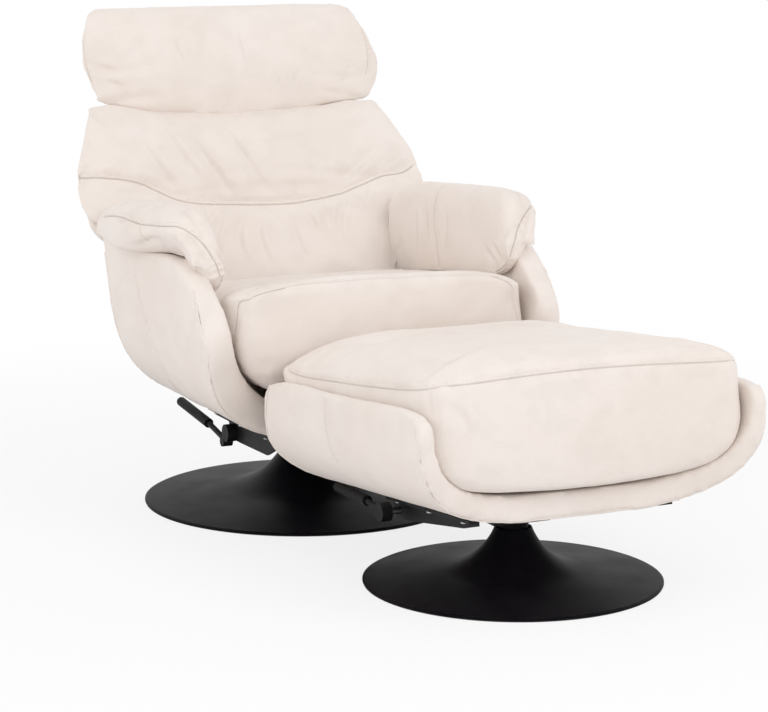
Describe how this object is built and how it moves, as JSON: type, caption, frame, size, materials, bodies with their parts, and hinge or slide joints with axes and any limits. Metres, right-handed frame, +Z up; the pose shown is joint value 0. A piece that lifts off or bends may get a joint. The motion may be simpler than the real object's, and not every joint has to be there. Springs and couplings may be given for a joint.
{
  "type": "swivel recliner with footstool",
  "caption": "Swivel recliner on a round trumpet base: padded bucket shell, arm pads, reclining back, tilting headrest, and a matching tilting footstool beside its seat front.",
  "frame": {"origin": "centre of the chair base on the floor", "axes": "+Z up, -Y the way the seat faces, +X to the right in the picture (the side away from the levers)"},
  "size_m": [0.8485, 1.5098, 0.963],
  "materials": {
    "leather_cover": "pale cream grained leather, satin",
    "base_metal": "black powder coat, satin",
    "bright_steel": "plain zinc-plated steel",
    "felt": "dark felt",
    "wood_board": "raw birch plywood",
    "black_plastic": "black moulded plastic, fine texture",
    "elastic_web": "black elastic webbing"
  },
  "bodies": {
    "chair_base": {"chair_floor_pad": "felt", "chair_weight_plate": "bright_steel", "chair_base_cover": "base_metal", "chair_column": "base_metal", "chair_column_bush": "black_plastic", "chair_column_screws": "bright_steel"},
    "chair_mechanism": {"chair_spindle": "bright_steel", "chair_bearing_washer": "bright_steel", "chair_spindle_clip": "bright_steel", "chair_swivel_bracket": "base_metal"},
    "seat": {"chair_tilt_axle": "bright_steel", "chair_axle_spacers": "bright_steel", "chair_clutch_discs": "bright_steel", "chair_mounting_rails": "base_metal", "chair_rail_screws": "bright_steel", "seat_pan": "leather_cover", "side_shell_left": "leather_cover", "side_shell_right": "leather_cover", "seat_battens": "wood_board", "seat_platform": "wood_board", "seat_cushion": "leather_cover", "arm_pad_left": "leather_cover", "arm_pad_right": "leather_cover", "back_hinge_brackets": "base_metal", "back_hinge_pins": "bright_steel", "back_hinge_discs": "black_plastic"},
    "chair_lever": {"chair_lever_hub": "black_plastic", "chair_lever_rod": "base_metal", "chair_lever_grip": "black_plastic"},
    "back": {"back_frame": "base_metal", "back_straps": "elastic_web", "back_shell": "leather_cover", "back_cushion": "leather_cover", "headrest_bracket": "base_metal", "headrest_pin": "bright_steel"},
    "headrest": {"headrest_frame": "base_metal", "headrest_cushion": "leather_cover"},
    "stool_base": {"stool_floor_pad": "felt", "stool_weight_plate": "bright_steel", "stool_base_cover": "base_metal", "stool_column": "base_metal", "stool_column_bush": "black_plastic", "stool_column_screws": "bright_steel"},
    "stool_mechanism": {"stool_spindle": "bright_steel", "stool_bearing_washer": "bright_steel", "stool_spindle_clip": "bright_steel", "stool_swivel_bracket": "base_metal"},
    "stool_tray": {"stool_tilt_axle": "bright_steel", "stool_axle_spacers": "bright_steel", "stool_clutch_discs": "bright_steel", "stool_mounting_rails": "base_metal", "stool_rail_screws": "bright_steel", "stool_shell": "leather_cover", "stool_platform": "wood_board", "stool_cushion": "leather_cover"},
    "stool_lever": {"stool_lever_hub": "black_plastic", "stool_lever_rod": "base_metal", "stool_lever_grip": "black_plastic"}
  },
  "joints": [
    {"name": "chair_swivel", "type": "hinge", "parent": "chair_base", "child": "chair_mechanism", "pos_m": [0, 0, 0.12], "axis": [0, 0, 1], "continuous": true},
    {"name": "seat_tilt", "type": "hinge", "parent": "chair_mechanism", "child": "seat", "pos_m": [0, -0.095, 0.168], "axis": [-1, 0, 0], "range_deg": [0, 9]},
    {"name": "recline", "type": "hinge", "parent": "seat", "child": "back", "pos_m": [0, 0.171, 0.369], "axis": [-1, 0, 0], "range_deg": [0, 24]},
    {"name": "headrest_tilt", "type": "hinge", "parent": "back", "child": "headrest", "pos_m": [0, 0.39524, 0.78491], "axis": [1, 0, 0], "range_deg": [-8, 30]},
    {"name": "chair_lever_turn", "type": "hinge", "parent": "seat", "child": "chair_lever", "pos_m": [-0.19755, -0.095, 0.168], "axis": [1, 0, 0], "range_deg": [-15, 0], "stiffness_Nm_per_rad": 2, "springref_deg": 20.05},
    {"name": "stool_slide", "type": "slide", "parent": "chair_mechanism", "child": "stool_mechanism", "axis": [0, -1, 0], "range_m": [0, 0.35]},
    {"name": "stool_swivel", "type": "hinge", "parent": "stool_mechanism", "child": "stool_base", "pos_m": [0.09, -0.728, 0.09], "axis": [0, 0, 1], "continuous": true},
    {"name": "stool_tilt", "type": "hinge", "parent": "stool_mechanism", "child": "stool_tray", "pos_m": [0.09, -0.658, 0.131], "axis": [1, 0, 0], "range_deg": [0, 10]},
    {"name": "stool_lever_turn", "type": "hinge", "parent": "stool_tray", "child": "stool_lever", "pos_m": [-0.12955, -0.658, 0.131], "axis": [1, 0, 0], "range_deg": [-15, 0], "stiffness_Nm_per_rad": 2, "springref_deg": 20.05}
  ]
}
